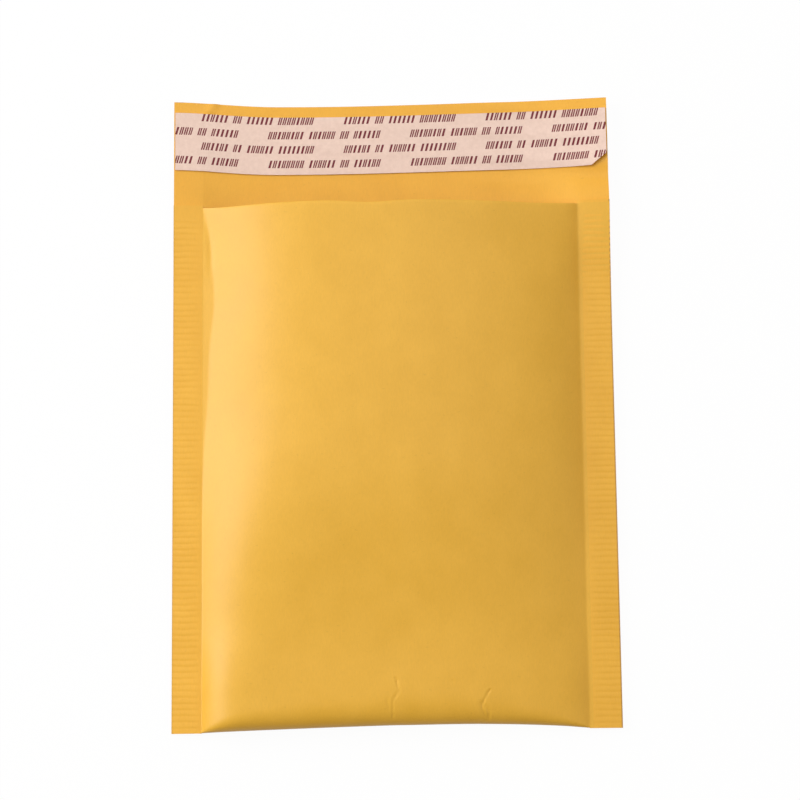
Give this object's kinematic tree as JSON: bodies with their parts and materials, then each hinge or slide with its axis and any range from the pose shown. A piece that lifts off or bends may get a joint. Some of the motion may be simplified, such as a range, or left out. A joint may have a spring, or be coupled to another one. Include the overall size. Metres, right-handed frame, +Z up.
{
  "type": "padded envelope",
  "caption": "Small kraft paper mailing envelope padded with bubble film, its flap open with adhesive under a release liner.",
  "frame": {"origin": "middle of the base, on the surface that the back panel lies on", "axes": "+X across the envelope, to the right with the flap away from the viewer; +Y from the bottom fold to the flap; +Z up, out of the front panel"},
  "size_m": [0.15, 0.2171, 0.016],
  "materials": {
    "kraft": "matt golden kraft paper",
    "bubble_film": "clear polythene film, slightly milky",
    "adhesive": "tacky hot-melt, pale amber",
    "liner": "smooth siliconed paper, pale pink with dark red marks"
  },
  "bodies": {
    "root": {"kraft_envelope": "kraft", "bubble_lining": "bubble_film", "adhesive_strip": "adhesive", "release_liner": "liner"}
  },
  "joints": []
}
